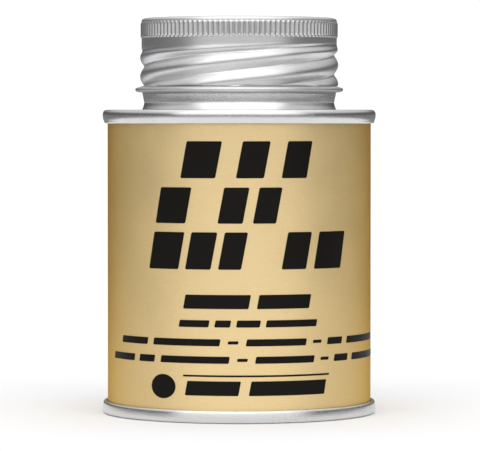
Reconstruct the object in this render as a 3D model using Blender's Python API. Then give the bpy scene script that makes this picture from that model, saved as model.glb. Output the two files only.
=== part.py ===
"""A shut spice tin: a printed can wall between two rolled seams, a necked top end and a metal screw cap.

Lengths are in metres and +Z is up. The origin is the middle of the circle that the tin stands on,
and the front of the printed wall faces -Y. The tin is shut, so its inside is solid.
"""

import math

import bmesh
import bpy

MM = 0.001

# Driving dimensions
TIN_DIAMETER = 60.0 * MM  # over the rolled seams
WALL_DIAMETER = 57.84 * MM  # the printed wall between the seams
TIN_HEIGHT = 86.6 * MM  # from the foot to the top of the cap
SHOULDER_HEIGHT = 66.55 * MM  # from the foot to the top of the upper seam
CAP_DIAMETER = 43.3 * MM  # the cap's plain wall
HEM_DIAMETER = 45.7 * MM  # over the curl at the cap's open edge
FIT_GAP = 0.3 * MM  # between pieces that touch

# Rolled seams, the same at both ends of the wall
SEAM_HEIGHT = 2.75 * MM
SEAM_LIP_WIDTH = 0.25 * MM  # flat lip that closes on the wall
SEAM_TAPER = 0.25 * MM  # how far the seam leans in towards its lip
SEAM_ROUNDING = 0.5 * MM
SEAM_POCKET_DEPTH = 1.75 * MM  # how far the wall reaches up inside the seam
SEAM_INNER_RADIUS = 27.5 * MM  # where the seam turns down into the end panel
CHUCK_WALL_LEAN = 0.3 * MM
END_THICKNESS = 0.8 * MM
WALL_SKIRT = 0.72 * MM  # thickness of the wall's edge inside the seam
FOOT_RECESS = 2.2 * MM  # the bottom panel stands this far above the foot
SHOULDER_RECESS = 1.5 * MM  # the top panel lies this far below the seam

# Neck: two cones that meet in a pinched crease under the cap
NECK_FOOT_RADIUS = 22.6 * MM  # where the neck starts to rise from the panel
NECK_BASE_RADIUS = 21.3 * MM
NECK_CREASE_RADIUS = 20.84 * MM
NECK_TOP_RADIUS = 21.27 * MM
NECK_BASE_Z = 66.6 * MM
NECK_CREASE_Z = 68.1 * MM
NECK_TOP_Z = 70.05 * MM
NECK_REACH = 0.6 * MM  # how far the neck reaches into the cap

# Cap
HEM_BOTTOM_Z = 70.35 * MM
HEM_HEIGHT = 1.4 * MM
HEM_LIP_RADIUS = 21.6 * MM
CAP_CORNER = 1.2 * MM
FLUTE_COUNT = 116
FLUTE_BOTTOM_Z = 82.75 * MM
FLUTE_TOP_Z = 85.5 * MM
FLUTE_DEPTH = 0.25 * MM
FLUTE_RIB = 0.28 * MM  # half of the metal left between two flutes
THREAD_STARTS = 3
THREAD_LEAD = 12.6 * MM  # rise in one turn, right-handed
THREAD_FRONT_Z = 75.15 * MM  # where a groove crosses the front of the cap
THREAD_BULGE = 0.25 * MM  # crest outside the plain wall
THREAD_GROOVE = 0.7 * MM  # groove inside the plain wall
THREAD_FADE = 1.8 * MM  # run-out at the top of the thread
THREAD_ROWS = 11

TURN_STEPS = 48  # sides of the turned pieces
ARC_STEPS = 3

GOLD_PRINT = (0.60, 0.44, 0.19, 1.0)
BRIGHT_TINPLATE = (0.80, 0.80, 0.81, 1.0)
SATIN_ALUMINIUM = (0.74, 0.74, 0.75, 1.0)


def finish(name, colour, roughness, metallic):
    """A Principled material with this colour, roughness and metallic value."""
    material = bpy.data.materials.new(name)
    material.use_nodes = True
    shader = material.node_tree.nodes["Principled BSDF"]
    shader.inputs["Base Color"].default_value = colour
    shader.inputs["Roughness"].default_value = roughness
    shader.inputs["Metallic"].default_value = metallic
    return material


def arc(centre_r, centre_z, radius, start, end, steps=ARC_STEPS):
    """Points (r, z) on an arc, from start to end in degrees, both included."""
    points = []
    for step in range(steps + 1):
        angle = math.radians(start + (end - start) * step / steps)
        points.append((centre_r + radius * math.cos(angle), centre_z + radius * math.sin(angle)))
    return points


def turned(outline, steps):
    """A bmesh of the outline of (r, z) points spun round the Z axis. Its first and last points lie on the axis."""
    mesh = bmesh.new()
    corners = [mesh.verts.new((r, 0, z)) for r, z in outline]
    edges = [mesh.edges.new(pair) for pair in zip(corners, corners[1:])]
    bmesh.ops.spin(
        mesh,
        geom=corners + edges,
        cent=(0, 0, 0),
        axis=(0, 0, 1),
        angle=math.tau,
        steps=steps,
        use_merge=True,
    )
    bmesh.ops.remove_doubles(mesh, verts=mesh.verts, dist=0.001 * MM)
    bmesh.ops.recalc_face_normals(mesh, faces=mesh.faces)
    return mesh


def add_node(name, mesh, material):
    """Makes the bmesh an object of this name with one material, smooth but for its sharp edges."""
    data = bpy.data.meshes.new(name)
    mesh.to_mesh(data)
    mesh.free()
    data.materials.append(material)
    data.shade_smooth()
    data.set_sharp_from_angle(angle=math.radians(40))
    obj = bpy.data.objects.new(name, data)
    bpy.context.scene.collection.objects.link(obj)
    return obj


def seam_outline():
    """The rolled seam's section, from the end panel round the outside to the pocket that holds the wall.

    The points are (r, depth), where depth is measured from the seam's outer end towards the wall.
    """
    outer = TIN_DIAMETER / 2
    pocket = WALL_DIAMETER / 2 + FIT_GAP
    bead = [(SEAM_INNER_RADIUS, SEAM_ROUNDING), (SEAM_INNER_RADIUS + SEAM_ROUNDING, 0)]
    bead += arc(outer - SEAM_ROUNDING, SEAM_ROUNDING, SEAM_ROUNDING, -90, 0)
    bead += [
        (outer, SEAM_HEIGHT / 2),
        (outer - SEAM_TAPER, SEAM_HEIGHT - SEAM_LIP_WIDTH),
        (pocket + SEAM_LIP_WIDTH, SEAM_HEIGHT),
        (pocket, SEAM_HEIGHT),
        (pocket, SEAM_HEIGHT - SEAM_POCKET_DEPTH),
        (pocket - WALL_SKIRT - 2 * FIT_GAP, SEAM_HEIGHT - SEAM_POCKET_DEPTH),
    ]
    return bead


def bottom_end_outline():
    """The bottom end: a panel recessed inside the foot, and the seam that grips the wall."""
    seam = seam_outline()
    chuck_wall = (SEAM_INNER_RADIUS - CHUCK_WALL_LEAN, FOOT_RECESS)
    inner_wall_top = (seam[-1][0], FOOT_RECESS + END_THICKNESS)
    return [(0, FOOT_RECESS), chuck_wall] + seam + [inner_wall_top, (0, FOOT_RECESS + END_THICKNESS)]


def top_end_outline():
    """The top end: the upper seam, a sunken shoulder panel and the neck that carries the cap."""
    panel_z = SHOULDER_HEIGHT - SHOULDER_RECESS
    neck_top = HEM_BOTTOM_Z + NECK_REACH
    seam = [(r, SHOULDER_HEIGHT - depth) for r, depth in reversed(seam_outline())]
    chuck_wall = (SEAM_INNER_RADIUS - CHUCK_WALL_LEAN, panel_z)
    underside = panel_z - END_THICKNESS
    neck = [
        (NECK_FOOT_RADIUS, panel_z),
        ((NECK_FOOT_RADIUS + NECK_BASE_RADIUS) / 2, (panel_z * 2 + NECK_BASE_Z) / 3),
        (NECK_BASE_RADIUS, NECK_BASE_Z),
        (NECK_CREASE_RADIUS + 0.1 * MM, (NECK_BASE_Z + NECK_CREASE_Z) / 2),
        (NECK_CREASE_RADIUS, NECK_CREASE_Z),
        (NECK_TOP_RADIUS, NECK_TOP_Z),
        (NECK_TOP_RADIUS, neck_top),
    ]
    return [(0, underside), (seam[0][0], underside)] + seam + [chuck_wall] + neck + [(0, neck_top)]


def wall_outline():
    """The can wall with its contents: a solid drum whose thin edges reach into both seams."""
    outer = WALL_DIAMETER / 2
    inner = outer - WALL_SKIRT
    low_edge = SEAM_HEIGHT - SEAM_POCKET_DEPTH + FIT_GAP
    high_edge = SHOULDER_HEIGHT - low_edge
    low_face = FOOT_RECESS + END_THICKNESS + FIT_GAP
    high_face = SHOULDER_HEIGHT - SHOULDER_RECESS - END_THICKNESS - FIT_GAP
    low = [(0, low_face), (inner, low_face), (inner, low_edge), (outer, low_edge)]
    high = [(outer, high_edge), (inner, high_edge), (inner, high_face), (0, high_face)]
    return low + high


def thread_relief(angle, z):
    """How far the cap's wall stands out of its plain radius at this angle and height, in metres.

    Each groove is a sharp notch, and the metal swells in a round roll between two of them.
    """
    pitch = THREAD_LEAD / THREAD_STARTS
    turns_from_front = angle / math.tau + 0.25
    place = (z - THREAD_FRONT_Z - turns_from_front * THREAD_LEAD) / pitch
    across = math.sin(math.pi * (place % 1.0)) ** 0.7
    run_out = min(1.0, max(0.0, (FLUTE_BOTTOM_Z - z) / THREAD_FADE))
    return run_out * (across * (THREAD_BULGE + THREAD_GROOVE) - THREAD_GROOVE)


def cap_outline():
    """The cap: a curled hem round the neck, a wall with rows for its thread and flutes, and a rounded top."""
    radius = CAP_DIAMETER / 2
    hem_top = HEM_BOTTOM_Z + HEM_HEIGHT
    recess_z = HEM_BOTTOM_Z + NECK_REACH + FIT_GAP
    row = (FLUTE_BOTTOM_Z - hem_top) / (THREAD_ROWS + 1)
    hem = [
        (0, recess_z),
        (HEM_LIP_RADIUS, recess_z),
        (HEM_LIP_RADIUS, HEM_BOTTOM_Z),
        (HEM_DIAMETER / 2 - HEM_HEIGHT / 4, HEM_BOTTOM_Z + HEM_HEIGHT / 6),
        (HEM_DIAMETER / 2, HEM_BOTTOM_Z + HEM_HEIGHT / 2),
        (radius, hem_top),
    ]
    wall = [(radius, hem_top + row * n) for n in range(1, THREAD_ROWS + 1)]
    band = [(radius, FLUTE_BOTTOM_Z), (radius, FLUTE_TOP_Z)]
    corner = arc(radius - CAP_CORNER, TIN_HEIGHT - CAP_CORNER, CAP_CORNER, 15, 90)
    return hem + wall + band + corner + [(0, TIN_HEIGHT)]


def press_thread(mesh):
    """Moves the cap wall's rows in and out along the thread."""
    low = HEM_BOTTOM_Z + HEM_HEIGHT
    for vert in mesh.verts:
        r = math.hypot(vert.co.x, vert.co.y)
        if low + 0.1 * MM < vert.co.z < FLUTE_BOTTOM_Z - 0.1 * MM and r > NECK_TOP_RADIUS:
            scale = 1 + thread_relief(math.atan2(vert.co.y, vert.co.x), vert.co.z) / r
            vert.co.x *= scale
            vert.co.y *= scale


def press_flutes(mesh):
    """Presses one grip flute into each face of the band near the cap's top."""
    middle = (FLUTE_BOTTOM_Z + FLUTE_TOP_Z) / 2
    band = [face for face in mesh.faces if abs(face.calc_center_median().z - middle) < FLUTE_RIB]
    bmesh.ops.inset_individual(mesh, faces=band, thickness=FLUTE_RIB, depth=-FLUTE_DEPTH, use_even_offset=True)


def build():
    """Makes the four pieces of the tin."""
    for obj in list(bpy.data.objects):
        bpy.data.objects.remove(obj)
    gold = finish("gold_print", GOLD_PRINT, 0.5, 0.5)
    tinplate = finish("bright_tinplate", BRIGHT_TINPLATE, 0.3, 1.0)
    aluminium = finish("satin_aluminium", SATIN_ALUMINIUM, 0.35, 1.0)
    add_node("can_wall", turned(wall_outline(), TURN_STEPS), gold)
    add_node("bottom_end", turned(bottom_end_outline(), TURN_STEPS), tinplate)
    add_node("top_end", turned(top_end_outline(), TURN_STEPS), tinplate)
    cap = turned(cap_outline(), FLUTE_COUNT)
    press_thread(cap)
    press_flutes(cap)
    add_node("screw_cap", cap, aluminium)


build()
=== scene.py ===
"""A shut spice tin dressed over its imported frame.

The printed wall, the two rolled ends and the threaded screw cap are modelled as fine turned meshes that stand
for the frame's solids. Generic shapes in black ink lie on the gold wall. Lengths are in millimetres unless a
name or a docstring says otherwise, and become metres as a mesh is finished.
"""

from __future__ import annotations
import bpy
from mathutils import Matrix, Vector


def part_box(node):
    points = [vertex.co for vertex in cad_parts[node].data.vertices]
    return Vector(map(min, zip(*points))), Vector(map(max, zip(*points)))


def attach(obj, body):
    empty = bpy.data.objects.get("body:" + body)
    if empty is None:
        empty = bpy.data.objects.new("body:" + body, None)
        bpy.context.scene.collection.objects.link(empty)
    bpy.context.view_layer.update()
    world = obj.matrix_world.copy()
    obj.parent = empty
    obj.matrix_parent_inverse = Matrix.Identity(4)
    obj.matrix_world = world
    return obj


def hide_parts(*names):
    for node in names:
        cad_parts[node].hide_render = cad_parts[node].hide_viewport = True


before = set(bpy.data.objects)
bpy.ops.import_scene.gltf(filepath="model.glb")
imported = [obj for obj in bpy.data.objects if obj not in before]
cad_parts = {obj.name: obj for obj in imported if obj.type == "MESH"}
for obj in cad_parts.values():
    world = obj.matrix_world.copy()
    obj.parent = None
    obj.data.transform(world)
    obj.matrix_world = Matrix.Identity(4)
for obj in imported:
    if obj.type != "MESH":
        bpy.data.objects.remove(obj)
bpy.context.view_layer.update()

import logging
import math
from dataclasses import dataclass, field
from enum import Enum
from typing import Callable, Sequence

import bmesh
import bpy
from mathutils import Matrix, Vector

LOG = logging.getLogger("spice_tin")
MM = 0.001
BODY = "root"

Point = tuple[float, float]
Colour = tuple[float, float, float]


class Slot(Enum):
    """The record's material slots."""

    PRINTED_WALL = "printed_wall"
    TINPLATE = "tinplate"
    CAP_METAL = "cap_metal"


class Node(Enum):
    """The frame's solids."""

    WALL = "can_wall"
    LOWER_END = "bottom_end"
    UPPER_END = "top_end"
    CAP = "screw_cap"


def reach(node: Node) -> tuple[float, float, float]:
    """Measures one of the frame's solids.

    Args:
        node: The solid to measure.

    Returns:
        Its radius, its lowest height and its highest height, in millimetres.
    """
    low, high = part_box(node.value)
    return high[0] / MM, low[2] / MM, high[2] / MM


# --------------------------------------------------------------------------------------------------
# Shader nodes


class Graph:
    """A node tree that is being wired."""

    def __init__(self, tree: bpy.types.NodeTree) -> None:
        """Keeps the tree.

        Args:
            tree: The node tree to add to.
        """
        self.tree = tree

    def add(self, kind: str, **settings: object) -> bpy.types.Node:
        """Adds a node.

        Args:
            kind: The node's Blender type.
            **settings: Properties to set on it.

        Returns:
            The new node.
        """
        node = self.tree.nodes.new(kind)
        for name, value in settings.items():
            setattr(node, name, value)
        return node

    def feed(self, socket: bpy.types.NodeSocket, value: object) -> None:
        """Links a socket to another socket, or sets its value.

        Args:
            socket: The input socket.
            value: An output socket, or a plain value.
        """
        if isinstance(value, bpy.types.NodeSocket):
            self.tree.links.new(value, socket)
        else:
            socket.default_value = value

    def maths(self, operation: str, *values: object) -> bpy.types.NodeSocket:
        """Adds a Math node.

        Args:
            operation: The node's operation.
            *values: Its inputs.

        Returns:
            The node's result.
        """
        node = self.add("ShaderNodeMath", operation=operation)
        for socket, value in zip(node.inputs, values):
            self.feed(socket, value)
        return node.outputs[0]

    def blend(self, factor: object, low: object, high: object) -> bpy.types.NodeSocket:
        """Mixes two colours.

        Args:
            factor: 0 for the first colour, 1 for the second.
            low: The first colour.
            high: The second colour.

        Returns:
            The mixed colour.
        """
        node = self.add("ShaderNodeMix", data_type="RGBA")
        self.feed(node.inputs["Factor"], factor)
        self.feed(node.inputs["A"], low)
        self.feed(node.inputs["B"], high)
        return node.outputs["Result"]

    def span(self, value: object, source: Point, target: Point, smooth: bool = False) -> bpy.types.NodeSocket:
        """Maps a value from one range to another, held at both ends.

        Args:
            value: The value to map.
            source: The range it comes from.
            target: The range it goes to.
            smooth: Whether the ends ease in and out.

        Returns:
            The mapped value.
        """
        kind = "SMOOTHSTEP" if smooth else "LINEAR"
        node = self.add("ShaderNodeMapRange", interpolation_type=kind)
        for socket, entry in zip(node.inputs, (value, *source, *target)):
            self.feed(socket, entry)
        return node.outputs["Result"]

    def noise(
        self, place: object, scale: object, detail: float = 2.0, rough: float = 0.5
    ) -> bpy.types.NodeSocket:
        """Adds a noise texture.

        Args:
            place: The coordinates to read.
            scale: Its scale.
            detail: The number of finer layers.
            rough: How strong the finer layers are.

        Returns:
            The noise, about 0.5 on average.
        """
        node = self.add("ShaderNodeTexNoise")
        self.feed(node.inputs["Vector"], place)
        self.feed(node.inputs["Scale"], scale)
        node.inputs["Detail"].default_value = detail
        node.inputs["Roughness"].default_value = rough
        return node.outputs["Fac"]

    def stretch(
        self, place: object, scale: Sequence[float], turn: Sequence[float] = (0, 0, 0)
    ) -> bpy.types.NodeSocket:
        """Scales and turns coordinates.

        Args:
            place: The coordinates.
            scale: The scale along each axis.
            turn: The rotation about each axis, in radians.

        Returns:
            The mapped coordinates.
        """
        node = self.add("ShaderNodeMapping")
        self.feed(node.inputs["Vector"], place)
        node.inputs["Scale"].default_value = scale
        node.inputs["Rotation"].default_value = turn
        return node.outputs["Vector"]


class Effect:
    """A shader node group that several finishes share. Its subclasses name its sockets and wire it."""

    name = "effect"
    takes: dict[str, float] = {}
    gives: tuple[str, ...] = ()

    def __init__(self) -> None:
        """Builds the group once, with a Place input for coordinates."""
        self.tree = bpy.data.node_groups.new(self.name, "ShaderNodeTree")
        self.tree.interface.new_socket("Place", in_out="INPUT", socket_type="NodeSocketVector")
        for label, value in self.takes.items():
            socket = self.tree.interface.new_socket(label, in_out="INPUT", socket_type="NodeSocketFloat")
            socket.default_value = value
        for label in self.gives:
            self.tree.interface.new_socket(label, in_out="OUTPUT", socket_type="NodeSocketFloat")
        graph = Graph(self.tree)
        entry = graph.add("NodeGroupInput")
        leave = graph.add("NodeGroupOutput")
        self.wire(graph, entry.outputs, leave.inputs)

    def wire(self, graph: Graph, entry: object, leave: object) -> None:
        """Wires the group.

        Args:
            graph: The group's tree.
            entry: The group's inputs by name.
            leave: The group's outputs by name.
        """
        raise NotImplementedError

    def place(self, graph: Graph, coordinates: object, **values: float) -> bpy.types.Node:
        """Puts the group into a material.

        Args:
            graph: The material's tree.
            coordinates: The coordinates to read.
            **values: Inputs to set, by name with underscores for spaces.

        Returns:
            The group node.
        """
        node = graph.add("ShaderNodeGroup", node_tree=self.tree)
        graph.feed(node.inputs["Place"], coordinates)
        for label, value in values.items():
            node.inputs[label.replace("_", " ").capitalize()].default_value = value
        return node


class SheetGrain(Effect):
    """The fine speckle and faint rolling streaks of thin sheet metal."""

    name = "sheet_grain"
    takes = {"Density": 3000.0}
    gives = ("Height", "Tone")

    def wire(self, graph: Graph, entry: object, leave: object) -> None:
        """Adds speckle to streaks that run round the tin.

        Args:
            graph: The group's tree.
            entry: The group's inputs by name.
            leave: The group's outputs by name.
        """
        speckle = graph.noise(entry["Place"], entry["Density"], 3.0, 0.7)
        flat = graph.stretch(entry["Place"], (1.0, 1.0, 9.0))
        streak = graph.noise(flat, graph.maths("MULTIPLY", entry["Density"], 0.12), 2.0)
        streak_part = graph.maths("MULTIPLY", streak, 0.25)
        both = graph.maths("ADD", graph.maths("MULTIPLY", speckle, 0.75), streak_part)
        graph.feed(leave["Height"], both)
        graph.feed(leave["Tone"], graph.span(both, (0.3, 0.7), (0.0, 1.0)))


class TurnedMarks(Effect):
    """Fine rings that rolling and spinning leave: level lines on a wall and circles on a flat."""

    name = "turned_marks"
    takes = {"Density": 4000.0}
    gives = ("Height",)

    def wire(self, graph: Graph, entry: object, leave: object) -> None:
        """Reads noise over the radius and the height only, so that it runs in rings.

        Args:
            graph: The group's tree.
            entry: The group's inputs by name.
            leave: The group's outputs by name.
        """
        parts = graph.add("ShaderNodeSeparateXYZ")
        graph.feed(parts.inputs[0], entry["Place"])
        across = graph.maths("POWER", parts.outputs["X"], 2.0)
        along = graph.maths("POWER", parts.outputs["Y"], 2.0)
        radius = graph.maths("SQRT", graph.maths("ADD", across, along))
        drift = graph.noise(entry["Place"], 60.0, 1.0)
        ring = graph.add("ShaderNodeCombineXYZ")
        graph.feed(ring.inputs["X"], radius)
        graph.feed(ring.inputs["Y"], graph.maths("MULTIPLY", drift, 0.0004))
        graph.feed(ring.inputs["Z"], parts.outputs["Z"])
        graph.feed(leave["Height"], graph.noise(ring.outputs[0], entry["Density"], 2.0))


class HandlingMarks(Effect):
    """Faint smudges and hair scratches from being handled."""

    name = "handling_marks"
    takes = {"Smudge size": 90.0, "Scratch size": 260.0}
    gives = ("Smudge", "Scratch")

    def wire(self, graph: Graph, entry: object, leave: object) -> None:
        """Makes soft patches, and thin slanting lines from two stretched noises.

        Args:
            graph: The group's tree.
            entry: The group's inputs by name.
            leave: The group's outputs by name.
        """
        patch = graph.noise(entry["Place"], entry["Smudge size"], 3.0, 0.6)
        graph.feed(leave["Smudge"], graph.span(patch, (0.4, 0.68), (0.0, 1.0), True))
        lines = []
        for turn in (0.35, -0.6):
            thin = graph.stretch(entry["Place"], (1.0, 1.0, 14.0), (turn, turn * 0.5, 0.0))
            hair = graph.noise(thin, entry["Scratch size"], 2.0, 0.6)
            lines.append(graph.span(hair, (0.70, 0.74), (0.0, 1.0), True))
        graph.feed(leave["Scratch"], graph.maths("MAXIMUM", *lines))


@dataclass
class Effects:
    """The shared node groups, each built once."""

    grain: SheetGrain = field(default_factory=SheetGrain)
    turned: TurnedMarks = field(default_factory=TurnedMarks)
    handling: HandlingMarks = field(default_factory=HandlingMarks)


# --------------------------------------------------------------------------------------------------
# Finishes


@dataclass(frozen=True)
class Finish:
    """What every finish has: a name, two tones of its colour and a range of roughness."""

    name: str
    tone: Colour
    dark_tone: Colour
    roughness: Point

    def material(self, effects: Effects) -> bpy.types.Material:
        """Makes the material.

        Args:
            effects: The shared node groups.

        Returns:
            The material, wired.
        """
        made = bpy.data.materials.new(self.name)
        made.use_nodes = True
        graph = Graph(made.node_tree)
        shader = made.node_tree.nodes["Principled BSDF"]
        place = graph.add("ShaderNodeTexCoord").outputs["Object"]
        self.wire(graph, shader, place, effects)
        made.diffuse_color = (*self.tone, 1.0)
        return made

    def wire(self, graph: Graph, shader: bpy.types.Node, place: object, effects: Effects) -> None:
        """Wires the material's own look.

        Args:
            graph: The material's tree.
            shader: Its Principled BSDF.
            place: Object coordinates.
            effects: The shared node groups.
        """
        raise NotImplementedError

    def bump(self, graph: Graph, shader: bpy.types.Node, height: object, depth: float) -> None:
        """Feeds a height into the shader's normal.

        Args:
            graph: The material's tree.
            shader: Its Principled BSDF.
            height: The height, 0 to 1.
            depth: What a height of 1 means, in metres.
        """
        bump = graph.add("ShaderNodeBump")
        bump.inputs["Strength"].default_value = 1.0
        bump.inputs["Distance"].default_value = depth
        graph.feed(bump.inputs["Height"], height)
        graph.feed(shader.inputs["Normal"], bump.outputs["Normal"])


@dataclass(frozen=True)
class BareMetal(Finish):
    """Bare sheet metal with its grain, its turned rings and faint marks."""

    grain_density: float = 3000.0
    grain_depth: float = 0.00001
    ring_share: float = 0.5
    mark_strength: float = 0.5

    def wire(self, graph: Graph, shader: bpy.types.Node, place: object, effects: Effects) -> None:
        """Wires the metal: marks change its colour and roughness, grain and rings its surface.

        Args:
            graph: The material's tree.
            shader: Its Principled BSDF.
            place: Object coordinates.
            effects: The shared node groups.
        """
        shader.inputs["Metallic"].default_value = 1.0
        grain = effects.grain.place(graph, place, density=self.grain_density)
        rings = effects.turned.place(graph, place)
        marks = effects.handling.place(graph, place)
        smudge = graph.maths("MULTIPLY", marks.outputs["Smudge"], self.mark_strength)
        shade = graph.maths("ADD", smudge, graph.maths("MULTIPLY", grain.outputs["Tone"], 0.35))
        graph.feed(shader.inputs["Base Color"], graph.blend(shade, (*self.tone, 1), (*self.dark_tone, 1)))
        scratch = graph.maths("MULTIPLY", marks.outputs["Scratch"], -0.25)
        gloss = graph.maths("ADD", shade, scratch)
        graph.feed(shader.inputs["Roughness"], graph.span(gloss, (0.0, 1.0), self.roughness))
        ring_height = graph.maths("MULTIPLY", rings.outputs["Height"], self.ring_share)
        height = graph.maths("ADD", grain.outputs["Height"], ring_height)
        cut = graph.maths("MULTIPLY", marks.outputs["Scratch"], -0.08)
        self.bump(graph, shader, graph.maths("ADD", height, cut), self.grain_depth)


@dataclass(frozen=True)
class GoldPrint(Finish):
    """Gold lacquer over tinplate, finely speckled. Its clear layer tints more where it is seen at a slant."""

    metal_share: float = 0.7
    sheen_index: float = 2.0
    edge_tint: Colour = (0.70, 0.66, 0.50)
    layer_tint: Colour = (0.93, 0.86, 0.68)
    layer_index: float = 1.02
    layer_roughness: float = 0.45
    grain_density: float = 2600.0
    grain_depth: float = 0.000012

    def wire(self, graph: Graph, shader: bpy.types.Node, place: object, effects: Effects) -> None:
        """Wires the lacquer: speckle changes its tone, and marks its roughness.

        Args:
            graph: The material's tree.
            shader: Its Principled BSDF.
            place: Object coordinates.
            effects: The shared node groups.
        """
        shader.inputs["Metallic"].default_value = self.metal_share
        shader.inputs["IOR"].default_value = self.sheen_index
        shader.inputs["Specular Tint"].default_value = (*self.edge_tint, 1)
        shader.inputs["Coat Weight"].default_value = 1.0
        shader.inputs["Coat Roughness"].default_value = self.layer_roughness
        shader.inputs["Coat IOR"].default_value = self.layer_index
        shader.inputs["Coat Tint"].default_value = (*self.layer_tint, 1)
        grain = effects.grain.place(graph, place, density=self.grain_density)
        marks = effects.handling.place(graph, place)
        graph.feed(
            shader.inputs["Base Color"],
            graph.blend(grain.outputs["Tone"], (*self.tone, 1), (*self.dark_tone, 1)),
        )
        gloss = graph.maths("MULTIPLY", marks.outputs["Smudge"], 0.6)
        gloss = graph.maths("ADD", gloss, graph.maths("MULTIPLY", grain.outputs["Tone"], 0.4))
        graph.feed(shader.inputs["Roughness"], graph.span(gloss, (0.0, 1.0), self.roughness))
        self.bump(graph, shader, grain.outputs["Height"], self.grain_depth)


@dataclass(frozen=True)
class BlackInk(Finish):
    """Dense satin ink that shows a little of the speckle below it."""

    gloss_level: float = 0.12
    grain_density: float = 2600.0
    grain_depth: float = 0.000006

    def wire(self, graph: Graph, shader: bpy.types.Node, place: object, effects: Effects) -> None:
        """Wires the ink: speckle changes its tone and its surface.

        Args:
            graph: The material's tree.
            shader: Its Principled BSDF.
            place: Object coordinates.
            effects: The shared node groups.
        """
        shader.inputs["Specular IOR Level"].default_value = self.gloss_level
        grain = effects.grain.place(graph, place, density=self.grain_density)
        marks = effects.handling.place(graph, place)
        graph.feed(
            shader.inputs["Base Color"],
            graph.blend(grain.outputs["Tone"], (*self.tone, 1), (*self.dark_tone, 1)),
        )
        gloss = graph.span(marks.outputs["Smudge"], (0.0, 1.0), self.roughness)
        graph.feed(shader.inputs["Roughness"], gloss)
        self.bump(graph, shader, grain.outputs["Height"], self.grain_depth)


@dataclass(frozen=True)
class PaleFloor(Finish):
    """A plain matt white table."""

    def wire(self, graph: Graph, shader: bpy.types.Node, place: object, effects: Effects) -> None:
        """Wires the floor: a barely uneven white.

        Args:
            graph: The material's tree.
            shader: Its Principled BSDF.
            place: Object coordinates.
            effects: The shared node groups.
        """
        shader.inputs["Specular IOR Level"].default_value = 0.0
        cloud = graph.noise(place, 4.0, 1.0)
        graph.feed(shader.inputs["Base Color"], graph.blend(cloud, (*self.tone, 1), (*self.dark_tone, 1)))
        graph.feed(shader.inputs["Roughness"], graph.span(cloud, (0.0, 1.0), self.roughness))


GOLD_LACQUER = GoldPrint(
    "gold_lacquer",
    tone=(0.90, 0.75, 0.51),
    dark_tone=(0.83, 0.685, 0.45),
    roughness=(0.40, 0.50),
)
SATIN_INK = BlackInk(
    "satin_ink",
    tone=(0.003, 0.0025, 0.0015),
    dark_tone=(0.006, 0.005, 0.003),
    roughness=(0.42, 0.52),
)
BRIGHT_TINPLATE = BareMetal(
    "bright_tinplate",
    tone=(0.74, 0.74, 0.74),
    dark_tone=(0.62, 0.62, 0.62),
    roughness=(0.22, 0.34),
    grain_density=2900.0,
    grain_depth=0.000020,
    ring_share=0.4,
    mark_strength=0.3,
)
SATIN_ALUMINIUM = BareMetal(
    "satin_aluminium",
    tone=(0.725, 0.725, 0.73),
    dark_tone=(0.59, 0.59, 0.595),
    roughness=(0.29, 0.42),
    grain_density=2700.0,
    grain_depth=0.000030,
    ring_share=0.2,
    mark_strength=0.3,
)
WHITE_TABLE = PaleFloor(
    "white_table",
    tone=(0.86, 0.865, 0.88),
    dark_tone=(0.84, 0.845, 0.86),
    roughness=(0.8, 0.9),
)


@dataclass
class Paints:
    """The finished materials, each made once."""

    effects: Effects

    def __post_init__(self) -> None:
        """Makes every material."""
        self.gold = GOLD_LACQUER.material(self.effects)
        self.ink = SATIN_INK.material(self.effects)
        self.tinplate = BRIGHT_TINPLATE.material(self.effects)
        self.aluminium = SATIN_ALUMINIUM.material(self.effects)
        self.table = WHITE_TABLE.material(self.effects)


# --------------------------------------------------------------------------------------------------
# Modelling


class Outline:
    """A section of (radius, height) points that grows by lines and bends."""

    def __init__(self, r: float, z: float) -> None:
        """Starts the section.

        Args:
            r: The first point's radius.
            z: The first point's height.
        """
        self.points: list[Point] = [(r, z)]

    def line(self, r: float, z: float, cuts: int = 0) -> Outline:
        """Adds a straight stretch.

        Args:
            r: The end's radius.
            z: The end's height.
            cuts: How many points divide the stretch.

        Returns:
            The outline.
        """
        start_r, start_z = self.points[-1]
        for step in range(1, cuts + 2):
            share = step / (cuts + 1)
            self.points.append((start_r + (r - start_r) * share, start_z + (z - start_z) * share))
        return self

    def bend(self, via: Point, end: Point, steps: int = 6) -> Outline:
        """Adds a smooth bend that leaves towards one point and arrives from it.

        Args:
            via: The point that both ends of the bend aim at.
            end: Where the bend ends.
            steps: How many edges it has.

        Returns:
            The outline.
        """
        start = Vector(self.points[-1])
        middle, finish = Vector(via), Vector(end)
        for step in range(1, steps + 1):
            t = step / steps
            point = start * (1 - t) ** 2 + middle * 2 * t * (1 - t) + finish * t**2
            self.points.append((point.x, point.y))
        return self


def turn(outline: Outline, steps: int) -> bmesh.types.BMesh:
    """Spins an outline round the Z axis.

    Args:
        outline: The section, with its first and last points on the axis.
        steps: The number of sides.

    Returns:
        The closed mesh, in millimetres.
    """
    mesh = bmesh.new()
    corners = [mesh.verts.new((0, -r, z)) for r, z in outline.points]
    edges = [mesh.edges.new(pair) for pair in zip(corners, corners[1:])]
    bmesh.ops.spin(
        mesh,
        geom=corners + edges,
        cent=(0, 0, 0),
        axis=(0, 0, 1),
        angle=math.tau,
        steps=steps,
        use_merge=True,
    )
    bmesh.ops.remove_doubles(mesh, verts=mesh.verts, dist=0.0005)
    bmesh.ops.recalc_face_normals(mesh, faces=mesh.faces)
    return mesh


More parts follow.
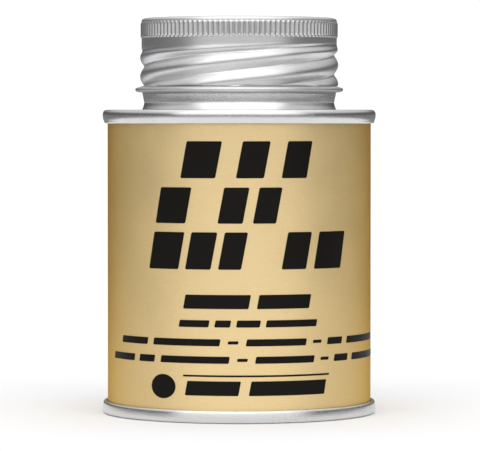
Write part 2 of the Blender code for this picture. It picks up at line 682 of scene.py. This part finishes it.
@dataclass
class Workshop:
    """Finishes meshes as pieces of the tin, and reports them."""

    pieces: list[bpy.types.Object] = field(default_factory=list)

    def piece(
        self,
        name: str,
        mesh: bmesh.types.BMesh,
        material: bpy.types.Material,
        slot: Slot,
        stands_for: Node | None = None,
        sharp: float = 35.0,
    ) -> bpy.types.Object:
        """Turns a mesh into a piece that rides on the tin.

        Args:
            name: The piece's name.
            mesh: Its mesh, in millimetres. It is freed.
            material: Its material.
            slot: The record's material slot for it, which is only named in the log.
            stands_for: The frame's solid that it replaces, if any.
            sharp: The angle in degrees past which an edge stays sharp.

        Returns:
            The piece's object, at the origin.
        """
        bmesh.ops.scale(mesh, vec=(MM, MM, MM), verts=mesh.verts)
        data = bpy.data.meshes.new(name)
        mesh.to_mesh(data)
        mesh.free()
        data.materials.append(material)
        data.shade_smooth()
        data.set_sharp_from_angle(angle=math.radians(sharp))
        made = bpy.data.objects.new(name, data)
        bpy.context.scene.collection.objects.link(made)
        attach(made, BODY)
        if stands_for is not None:
            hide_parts(stands_for.value)
        self.pieces.append(made)
        LOG.info("%s: %d faces, slot %s, stands for %s", name, len(data.polygons), slot.value, stands_for)
        return made


# --------------------------------------------------------------------------------------------------
# Sub-assemblies


@dataclass
class PrintedWall:
    """The can's wall, a solid drum that reaches into both seams, and the bare strip along its side weld."""

    radius: float
    low_edge: float
    high_edge: float
    edge_thickness: float = 0.72
    low_face: float = 3.4
    face_drop: float = 2.4
    strip_width: float = 3.4
    strip_lift: float = 0.03
    strip_low: float = 2.5
    strip_high: float = 63.9
    weld_lift: float = 0.12
    weld_half_width: float = 0.35
    strip_angle: float = math.pi
    steps: int = 256

    def build(self, workshop: Workshop, paints: Paints) -> None:
        """Builds the drum and the weld strip.

        Args:
            workshop: Finishes the pieces.
            paints: The materials.
        """
        inner = self.radius - self.edge_thickness
        drum = Outline(0, self.low_face).line(inner, self.low_face).line(inner, self.low_edge)
        drum.line(self.radius, self.low_edge).line(self.radius, self.high_edge, cuts=24)
        drum.line(inner, self.high_edge).line(inner, self.high_edge - self.face_drop)
        drum.line(0, self.high_edge - self.face_drop)
        workshop.piece("gold_wall", turn(drum, self.steps), paints.gold, Slot.PRINTED_WALL, Node.WALL)
        self.build_weld(workshop, paints)

    def build_weld(self, workshop: Workshop, paints: Paints) -> None:
        """Builds the bare strip at the back, with the weld's low ridge along its middle.

        Args:
            workshop: Finishes the piece.
            paints: The materials.
        """
        sheet = InkSheet(self.radius, self.strip_lift, columns=0.2)
        height = self.strip_high - self.strip_low
        sheet.block(0, self.strip_low + height / 2, self.strip_width, height, 0.0, 0.0)
        sheet.wrap(self.strip_angle, self.ridge)
        workshop.piece("side_weld", sheet.mesh, paints.tinplate, Slot.TINPLATE)

    def ridge(self, across: float) -> float:
        """The weld ridge's height at a distance from the strip's middle."""
        return self.weld_lift * math.exp(-((across / self.weld_half_width) ** 2))


@dataclass
class LowerEnd:
    """The lower end: the rolled seam that the tin stands on, and the panel recessed inside it."""

    radius: float
    lip_z: float = 2.75
    lip_radius: float = 29.02
    pocket_z: float = 1.0
    pocket_inner: float = 27.9
    panel_z: float = 2.2
    panel_top: float = 3.0
    steps: int = 240

    def build(self, workshop: Workshop, paints: Paints) -> None:
        """Builds the end as one turned solid.

        Args:
            workshop: Finishes the piece.
            paints: The materials.
        """
        outer = self.radius
        section = Outline(0, self.panel_z).line(20.5, self.panel_z, cuts=4)
        section.bend((21.0, self.panel_z), (21.4, self.panel_z - 0.3), 4)
        section.line(24.2, self.panel_z - 0.3, cuts=2)
        section.bend((24.6, self.panel_z - 0.3), (25.0, self.panel_z), 4).line(26.6, self.panel_z)
        section.bend((27.2, self.panel_z), (27.3, self.panel_z - 0.6), 5).line(27.5, 0.55)
        section.bend((27.6, 0), (28.2, 0), 6).line(29.2, 0)
        section.bend((outer - 0.02, 0), (outer, 0.9), 10).bend((outer, 1.6), (outer - 0.09, 2.25), 8)
        section.bend((outer - 0.18, self.lip_z), (29.4, self.lip_z), 8)
        section.bend((self.lip_radius, self.lip_z), (self.lip_radius, self.lip_z - 0.2), 4)
        section.line(self.lip_radius, self.pocket_z).line(self.pocket_inner, self.pocket_z)
        section.line(self.pocket_inner, self.panel_top).line(0, self.panel_top)
        workshop.piece("lower_end", turn(section, self.steps), paints.tinplate, Slot.TINPLATE, Node.LOWER_END)


@dataclass
class UpperEnd:
    """The upper end: the rolled seam, the shoulder sunk behind it and the pinched neck."""

    radius: float
    rim_z: float
    neck_top: float
    lip_drop: float = 3.0
    fullest_drop: float = 1.15
    lip_radius: float = 29.02
    pocket_drop: float = 1.0
    pocket_inner: float = 27.9
    underside_drop: float = 2.3
    panel_drop: float = 1.5
    neck_radius: float = 21.28
    crease_radius: float = 20.84
    crease_drop: float = -1.5
    neck_flare_drop: float = -0.15
    steps: int = 240

    def build(self, workshop: Workshop, paints: Paints) -> None:
        """Builds the end as one turned solid.

        Args:
            workshop: Finishes the piece.
            paints: The materials.
        """
        top = self.rim_z
        lip = top - self.lip_drop
        full = top - self.fullest_drop
        panel = top - self.panel_drop
        crease = top - self.crease_drop
        section = Outline(0, top - self.underside_drop).line(self.pocket_inner, top - self.underside_drop)
        section.line(self.pocket_inner, top - self.pocket_drop).line(self.lip_radius, top - self.pocket_drop)
        section.line(self.lip_radius, lip + 0.2)
        section.bend((self.lip_radius, lip), (29.35, lip), 4)
        section.bend((29.62, lip), (29.72, lip + 0.5), 5)
        section.bend((self.radius, full - 0.7), (self.radius, full), 10)
        section.bend((self.radius, top - 0.12), (29.15, top), 10)
        section.line(28.7, top)
        section.bend((28.0, top), (27.85, top - 0.55), 8).line(27.6, panel + 0.5)
        section.bend((27.5, panel), (27.0, panel), 5).line(23.4, panel, cuts=3)
        section.bend((21.7, panel + 0.1), (self.neck_radius, top - self.neck_flare_drop), 12)
        section.bend((21.0, crease - 0.75), (self.crease_radius + 0.03, crease - 0.06), 8)
        section.line(self.crease_radius, crease).line(self.crease_radius + 0.04, crease + 0.06)
        section.bend((21.05, crease + 1.0), (self.neck_radius, crease + 2.0), 8)
        section.line(self.neck_radius - 0.05, self.neck_top).line(0, self.neck_top)
        workshop.piece("upper_end", turn(section, self.steps), paints.tinplate, Slot.TINPLATE, Node.UPPER_END)


@dataclass
class Thread:
    """The rolled thread's relief: sharp grooves with round rolls between them, rising to the right."""

    starts: int = 3
    lead: float = 12.65
    front_groove_z: float = 75.1
    sway: float = 0.28
    crest: float = 0.32
    groove: float = 0.62
    groove_softness: float = 0.10
    squeeze_z: float = 78.5
    squeeze: float = 0.69
    fade_z: float = 81.3
    fade_length: float = 2.4
    fade_rise: float = 0.5

    def relief(self, angle: float, z: float) -> float:
        """How far the wall stands out of its plain radius.

        Args:
            angle: The angle round the cap from its front, positive to the right, in radians.
            z: The height.

        Returns:
            The distance, negative inside the plain radius.
        """
        pitch = self.lead / self.starts
        level = z if z < self.squeeze_z else self.squeeze_z + (z - self.squeeze_z) / self.squeeze
        rise = self.lead * angle / math.tau + self.sway * math.sin(angle)
        wave = abs(math.sin(math.pi * (level - self.front_groove_z - rise) / pitch))
        soft = self.groove_softness
        across = (math.sqrt(wave * wave + soft * soft) - soft) / (math.sqrt(1 + soft * soft) - soft)
        top = self.fade_z - self.fade_rise * (1 - math.sin(angle))
        fade = min(1.0, max(0.0, (top - z) / self.fade_length))
        fade = fade * fade * (3 - 2 * fade)
        return fade * (across * (self.crest + self.groove) - self.groove)


@dataclass
class GripRibs:
    """The band of fine upright ribs round the cap, with rounded ends."""

    count: int = 115
    low_z: float = 82.15
    high_z: float = 85.75
    crest: float = 0.21
    valley: float = -0.20
    end_length: float = 0.38
    arch: float = 0.34

    def relief(self, angle: float, z: float) -> float:
        """How far the band stands out of the plain wall.

        Args:
            angle: The angle round the cap, in radians.
            z: The height.

        Returns:
            The distance.
        """
        across = (angle * self.count / math.tau) % 1.0 - 0.5
        arch = self.arch * (1 - math.sqrt(max(0.0, 1 - (2 * across) ** 2)))
        from_low = (z - self.low_z - arch) / self.end_length
        from_high = (self.high_z - arch - z) / self.end_length
        rise = min(1.0, max(0.0, min(from_low, from_high)))
        rise = rise * rise * (3 - 2 * rise)
        rib = math.cos(math.pi * across) ** 0.8 if abs(across) < 0.5 else 0.0
        return rise * (self.valley + (self.crest - self.valley) * rib)


@dataclass
class ScrewCap:
    """The screw cap: a curled hem, a threaded wall, a ribbed grip band and a flat top."""

    low_z: float
    high_z: float
    hem_radius: float
    wall_radius: float = 21.45
    lip_radius: float = 21.55
    recess_z: float = 71.25
    wall_z: float = 71.72
    corner: float = 1.1
    row_height: float = 0.14
    ribs: GripRibs = field(default_factory=GripRibs)
    thread: Thread = field(default_factory=Thread)
    sides_per_rib: int = 6

    def section(self) -> Outline:
        """Draws the cap's section, with rows of points where its wall is pressed.

        Returns:
            The outline.
        """
        low, hem, wall = self.low_z, self.hem_radius, self.wall_radius
        section = Outline(0, self.recess_z).line(self.lip_radius, self.recess_z)
        section.line(self.lip_radius, low + 0.3)
        section.bend((self.lip_radius, low), (self.lip_radius + 0.35, low), 4)
        section.line(hem - 0.55, low + 0.1).bend((hem, low + 0.15), (hem, low + 0.6), 6)
        section.bend((hem, low + 0.98), (hem - 0.55, low + 1.08), 6)
        section.line(wall + 0.25, self.wall_z - 0.12)
        section.bend((wall, self.wall_z - 0.08), (wall, self.wall_z + 0.1), 3)
        thread_top = self.thread.fade_z
        section.line(wall, thread_top, cuts=round((thread_top - self.wall_z) / self.row_height))
        section.line(wall, self.ribs.low_z - 0.1, cuts=1)
        section.line(wall, self.ribs.low_z + 0.8, cuts=7).line(wall, self.ribs.high_z - 0.8, cuts=2)
        section.line(wall, self.ribs.high_z, cuts=7).line(wall + 0.03, self.ribs.high_z + 0.03)
        section.bend((wall + 0.06, self.high_z), (wall - self.corner, self.high_z), 8)
        section.line(19.9, self.high_z).bend((19.6, self.high_z), (19.4, self.high_z - 0.12), 3)
        return section.line(12.0, self.high_z - 0.12).line(0, self.high_z - 0.12)

    def press(self, mesh: bmesh.types.BMesh) -> None:
        """Presses the thread and the ribs into the wall's rows.

        Args:
            mesh: The turned cap.
        """
        for vert in mesh.verts:
            r = math.hypot(vert.co.x, vert.co.y)
            if abs(r - self.wall_radius) > 0.01 or vert.co.z < self.wall_z:
                continue
            angle = math.atan2(vert.co.x, -vert.co.y)
            push = self.thread.relief(angle, vert.co.z) + self.ribs.relief(angle, vert.co.z)
            vert.co.x *= 1 + push / r
            vert.co.y *= 1 + push / r

    def build(self, workshop: Workshop, paints: Paints) -> None:
        """Builds the cap as one turned and pressed solid.

        Args:
            workshop: Finishes the piece.
            paints: The materials.
        """
        mesh = turn(self.section(), self.ribs.count * self.sides_per_rib)
        self.press(mesh)
        workshop.piece("threaded_cap", mesh, paints.aluminium, Slot.CAP_METAL, Node.CAP, sharp=60.0)


class InkSheet:
    """Flat shapes, laid out in arc length and height, that are wrapped round the wall as a thin film."""

    def __init__(self, radius: float, lift: float, columns: float = 1.2) -> None:
        """Starts an empty sheet.

        Args:
            radius: The wall's radius.
            lift: How far the film stands off the wall.
            columns: The widest that a face may be, so that the film follows the wall.
        """
        self.mesh = bmesh.new()
        self.radius = radius
        self.lift = lift
        self.columns = columns

    def block(self, x: float, z: float, width: float, height: float, slant: float, rounding: float) -> None:
        """Adds a slanted block with rounded corners.

        Args:
            x: Its middle, in arc length from the front.
            z: Its middle height.
            width: Its width along its foot.
            height: Its height.
            slant: How far it leans to the right in its height, as a share of the height.
            rounding: The corners' radius.
        """
        place = Matrix.Translation((x, z, 0)) @ Matrix.Diagonal((width, height, 1, 1))
        made = bmesh.ops.create_grid(self.mesh, x_segments=1, y_segments=1, size=0.5, matrix=place)
        for vert in made["verts"]:
            vert.co.x += (vert.co.y - z) * slant
        if rounding > 0:
            self.round_off(made["verts"], rounding, 4)

    def disc(self, x: float, z: float, radius: float, stretch: float) -> None:
        """Adds a disc.

        Args:
            x: Its middle, in arc length from the front.
            z: Its middle height.
            radius: Half its height.
            stretch: Its width as a share of its height.
        """
        place = Matrix.Translation((x, z, 0)) @ Matrix.Diagonal((stretch, 1, 1, 1))
        bmesh.ops.create_circle(self.mesh, cap_ends=True, segments=48, radius=radius, matrix=place)

    def round_off(self, corners: Sequence[bmesh.types.BMVert], rounding: float, segments: int) -> None:
        """Rounds a block's corners."""
        bmesh.ops.bevel(
            self.mesh,
            geom=list(corners),
            offset=rounding,
            offset_type="OFFSET",
            segments=segments,
            profile=0.5,
            material=-1,
            affect="VERTICES",
        )

    def wrap(self, angle: float = 0.0, ridge: Callable[[float], float] | None = None) -> None:
        """Cuts the shapes into columns, gives them thickness and bends them round the wall.

        Args:
            angle: Where the sheet's middle lies, from the front towards the right, in radians.
            ridge: Extra height of the film for a distance from the sheet's middle.
        """
        spread = max(abs(vert.co.x) for vert in self.mesh.verts)
        count = math.ceil(spread / self.columns)
        for column in range(-count, count + 1):
            everything = self.mesh.verts[:] + self.mesh.edges[:] + self.mesh.faces[:]
            bmesh.ops.bisect_plane(
                self.mesh,
                geom=everything,
                dist=0.0001,
                plane_co=(column * self.columns, 0, 0),
                plane_no=(1, 0, 0),
            )
        base = self.mesh.faces[:]
        raised = bmesh.ops.extrude_face_region(self.mesh, geom=base, use_keep_orig=True)
        top = [item for item in raised["geom"] if isinstance(item, bmesh.types.BMVert)]
        bmesh.ops.translate(self.mesh, vec=(0, 0, self.lift), verts=top)
        for vert in self.mesh.verts:
            extra = ridge(vert.co.x) if ridge is not None and vert.co.z > self.lift / 2 else 0.0
            turn_by = angle + vert.co.x / self.radius
            out = self.radius + vert.co.z + extra
            vert.co = (out * math.sin(turn_by), -out * math.cos(turn_by), vert.co.y)
        bmesh.ops.recalc_face_normals(self.mesh, faces=self.mesh.faces)


@dataclass(frozen=True)
class BlockRow:
    """One row of large slanted blocks.

    Each span is a block's left and right edge as seen from the front, which is wrapped back onto the wall.
    """

    low_z: float
    high_z: float
    spans: tuple[Point, ...]


@dataclass(frozen=True)
class BarRow:
    """One row of bars, one for each word of a line of print.

    Each word is a count of strokes. A count of 1 is a short dash between two words.
    """

    name: str
    low_z: float
    high_z: float
    start: float
    end: float
    words: tuple[int, ...]
    gap_strokes: float = 0.75
    dash_height: float = 0.45

    def bars(self) -> list[tuple[float, float, float]]:
        """Lays the words out along the row.

        Returns:
            Each bar's middle and width in arc length, and its height.
        """
        strokes = sum(self.words) + self.gap_strokes * (len(self.words) - 1)
        stroke = (self.end - self.start) / strokes
        laid = []
        left = self.start
        for count in self.words:
            width = count * stroke
            height = self.high_z - self.low_z
            if count == 1:
                height *= self.dash_height
            laid.append((left + width / 2, width, height))
            left += width + self.gap_strokes * stroke
        return laid


@dataclass
class FrontPrint:
    """Everything in black ink on the front: large blocks, small bars, a rule and a roundel, all generic."""

    radius: float
    lift: float = 0.03
    slant: float = 0.19
    block_rounding: float = 0.35
    bar_rounding: float = 0.25
    rows: tuple[BlockRow, ...] = (
        BlockRow(52.0, 59.85, ((-12.5, -3.6), (-0.7, 6.7), (9.0, 15.6))),
        BlockRow(42.4, 50.05, ((-17.8, -10.1), (-4.6, 2.2), (2.9, 9.2))),
        BlockRow(32.65, 40.55, ((-19.2, -11.6), (-11.5, -4.6), (-4.5, 1.9), (9.0, 15.5), (15.9, 22.6))),
    )
    small_rows: tuple[BarRow, ...] = (
        BarRow("heading_bars", 24.3, 27.3, -12.0, 15.9, (6, 5)),
        BarRow("fine_bars_1", 20.4, 21.9, -13.2, 17.6, (4, 2, 3, 7)),
        BarRow("fine_bars_2", 16.4, 17.9, -30.4, 42.4, (4, 7, 1, 6, 1, 2, 7)),
        BarRow("fine_bars_3", 12.7, 14.2, -34.6, 44.4, (4, 2, 7, 1, 6, 1, 2, 7)),
        BarRow("rule", 9.85, 10.25, -12.3, 21.0, (20,)),
        BarRow("foot_bars", 5.85, 8.95, -11.6, 19.9, (4, 6)),
    )
    roundel_x: float = -17.2
    roundel_z: float = 7.6
    roundel_radius: float = 2.6
    roundel_stretch: float = 1.2

    def on_wall(self, seen: float) -> float:
        """The arc length on the wall of a point seen from the front at a distance from the middle."""
        return self.radius * math.asin(max(-1.0, min(1.0, seen / self.radius)))

    def build(self, workshop: Workshop, paints: Paints) -> None:
        """Builds the front's print.

        Args:
            workshop: Finishes the pieces.
            paints: The materials.
        """
        for number, row in enumerate(self.rows, start=1):
            self.build_blocks(f"large_blocks_{number}", row, workshop, paints)
        for row in self.small_rows:
            self.build_bars(row, workshop, paints)
        sheet = InkSheet(self.radius, self.lift)
        sheet.disc(self.roundel_x, self.roundel_z, self.roundel_radius, self.roundel_stretch)
        sheet.wrap()
        workshop.piece("roundel", sheet.mesh, paints.ink, Slot.PRINTED_WALL)

    def build_bars(self, row: BarRow, workshop: Workshop, paints: Paints) -> None:
        """Builds one row of bars.

        Args:
            row: The row.
            workshop: Finishes the piece.
            paints: The materials.
        """
        sheet = InkSheet(self.radius, self.lift)
        middle = (row.low_z + row.high_z) / 2
        for x, width, height in row.bars():
            sheet.block(x, middle, width, height, self.slant, min(self.bar_rounding, height * 0.3))
        sheet.wrap()
        workshop.piece(row.name, sheet.mesh, paints.ink, Slot.PRINTED_WALL)

    def build_blocks(self, name: str, row: BlockRow, workshop: Workshop, paints: Paints) -> None:
        """Builds one row of large blocks.

        Args:
            name: The piece's name.
            row: The row.
            workshop: Finishes the piece.
            paints: The materials.
        """
        sheet = InkSheet(self.radius, self.lift)
        height = row.high_z - row.low_z
        lean = height * self.slant
        for left, right in row.spans:
            start, end = self.on_wall(left), self.on_wall(right)
            middle = (start + end) / 2
            width = end - start - lean
            sheet.block(middle, row.low_z + height / 2, width, height, self.slant, self.block_rounding)
        sheet.wrap()
        workshop.piece(name, sheet.mesh, paints.ink, Slot.PRINTED_WALL)


# --------------------------------------------------------------------------------------------------
# Studio


@dataclass
class Studio:
    """A white table under soft light, seen from the front."""

    eye_height: float = 65.4
    eye_distance: float = 742.0
    eye_side: float = 0.18
    lens: float = 253.0
    sensor: float = 36.0
    look_down: float = 1.877
    table_radius: float = 300.0
    horizon: Point = (-0.01, 0.06)
    room_light: float = 0.07
    below_light: float = 0.22
    side_light: float = 0.66
    side_heights: Point = (0.1, 0.5)
    top_light: float = 0.88
    top_heights: Point = (0.6, 1.0)
    front_light: float = 0.98
    front_edges: Point = (0.50, 0.62)
    front_elevation: float = 12.0

    def build(self, paints: Paints) -> None:
        """Builds the table, the light and the camera.

        Args:
            paints: The materials.
        """
        self.build_table(paints)
        self.build_sky()
        self.build_camera()

    def build_table(self, paints: Paints) -> None:
        """Builds the table top.

        Args:
            paints: The materials.
        """
        mesh = bmesh.new()
        place = Matrix.Translation((0, 0, -0.02 * MM))
        bmesh.ops.create_circle(mesh, cap_ends=True, segments=96, radius=self.table_radius * MM, matrix=place)
        data = bpy.data.meshes.new("table_top")
        mesh.to_mesh(data)
        mesh.free()
        data.materials.append(paints.table)
        table = bpy.data.objects.new("table_top", data)
        bpy.context.scene.collection.objects.link(table)

    def build_sky(self) -> None:
        """Builds the soft light as a dome: a round light in front, soft light above and a dim horizon."""
        world = bpy.data.worlds.new("studio")
        world.use_nodes = True
        bpy.context.scene.world = world
        graph = Graph(world.node_tree)
        world.node_tree.nodes.clear()
        way = graph.add("ShaderNodeTexCoord").outputs["Generated"]
        parts = graph.add("ShaderNodeSeparateXYZ")
        graph.feed(parts.inputs[0], way)
        height = parts.outputs["Z"]
        tilt = math.radians(self.front_elevation)
        facing = graph.add("ShaderNodeVectorMath", operation="DOT_PRODUCT")
        graph.feed(facing.inputs[0], way)
        graph.feed(facing.inputs[1], (0.0, -math.cos(tilt), math.sin(tilt)))
        side = (self.room_light, self.room_light + self.side_light)
        glow = graph.span(height, self.side_heights, side, True)
        top = graph.span(height, self.top_heights, (0.0, self.top_light), True)
        front = graph.span(facing.outputs["Value"], self.front_edges, (0.0, self.front_light), True)
        glow = graph.maths("ADD", graph.maths("ADD", glow, top), front)
        above = graph.span(height, self.horizon, (0.0, 1.0), True)
        glow = graph.maths("MULTIPLY", graph.maths("SUBTRACT", glow, self.below_light), above)
        glow = graph.maths("ADD", glow, self.below_light)
        light = graph.add("ShaderNodeBackground")
        graph.feed(light.inputs["Strength"], glow)
        light.inputs["Color"].default_value = (1, 1, 1, 1)
        plain = graph.add("ShaderNodeBackground")
        plain.inputs["Color"].default_value = (1, 1, 1, 1)
        plain.inputs["Strength"].default_value = 1.1
        choice = graph.add("ShaderNodeMixShader")
        graph.feed(choice.inputs[0], graph.add("ShaderNodeLightPath").outputs["Is Camera Ray"])
        graph.feed(choice.inputs[1], light.outputs[0])
        graph.feed(choice.inputs[2], plain.outputs[0])
        graph.feed(graph.add("ShaderNodeOutputWorld").inputs["Surface"], choice.outputs[0])

    def build_camera(self) -> None:
        """Builds the camera, level with the upper seam and looking slightly down."""
        data = bpy.data.cameras.new("eye")
        data.lens = self.lens
        data.sensor_width = self.sensor
        data.clip_start = 0.01
        data.clip_end = 20.0
        camera = bpy.data.objects.new("eye", data)
        camera.location = (self.eye_side * MM, -self.eye_distance * MM, self.eye_height * MM)
        camera.rotation_euler = (math.radians(90.0 - self.look_down), 0, 0)
        bpy.context.scene.collection.objects.link(camera)
        bpy.context.scene.camera = camera
        bpy.context.scene.view_settings.view_transform = "Standard"


def main() -> None:
    """Builds the tin and its studio in order."""
    logging.basicConfig(level=logging.INFO, format="%(message)s")
    paints = Paints(Effects())
    workshop = Workshop()
    wall_radius, wall_low, wall_high = reach(Node.WALL)
    foot_radius, _, _ = reach(Node.LOWER_END)
    rim_radius, _, neck_top = reach(Node.UPPER_END)
    hem_radius, cap_low, cap_high = reach(Node.CAP)
    PrintedWall(wall_radius, wall_low, wall_high).build(workshop, paints)
    LowerEnd(foot_radius).build(workshop, paints)
    UpperEnd(rim_radius, wall_low + wall_high, neck_top).build(workshop, paints)
    ScrewCap(cap_low, cap_high, hem_radius).build(workshop, paints)
    FrontPrint(wall_radius).build(workshop, paints)
    Studio().build(paints)
    LOG.info("%d pieces", len(workshop.pieces))


if __name__ == "__main__":
    main()
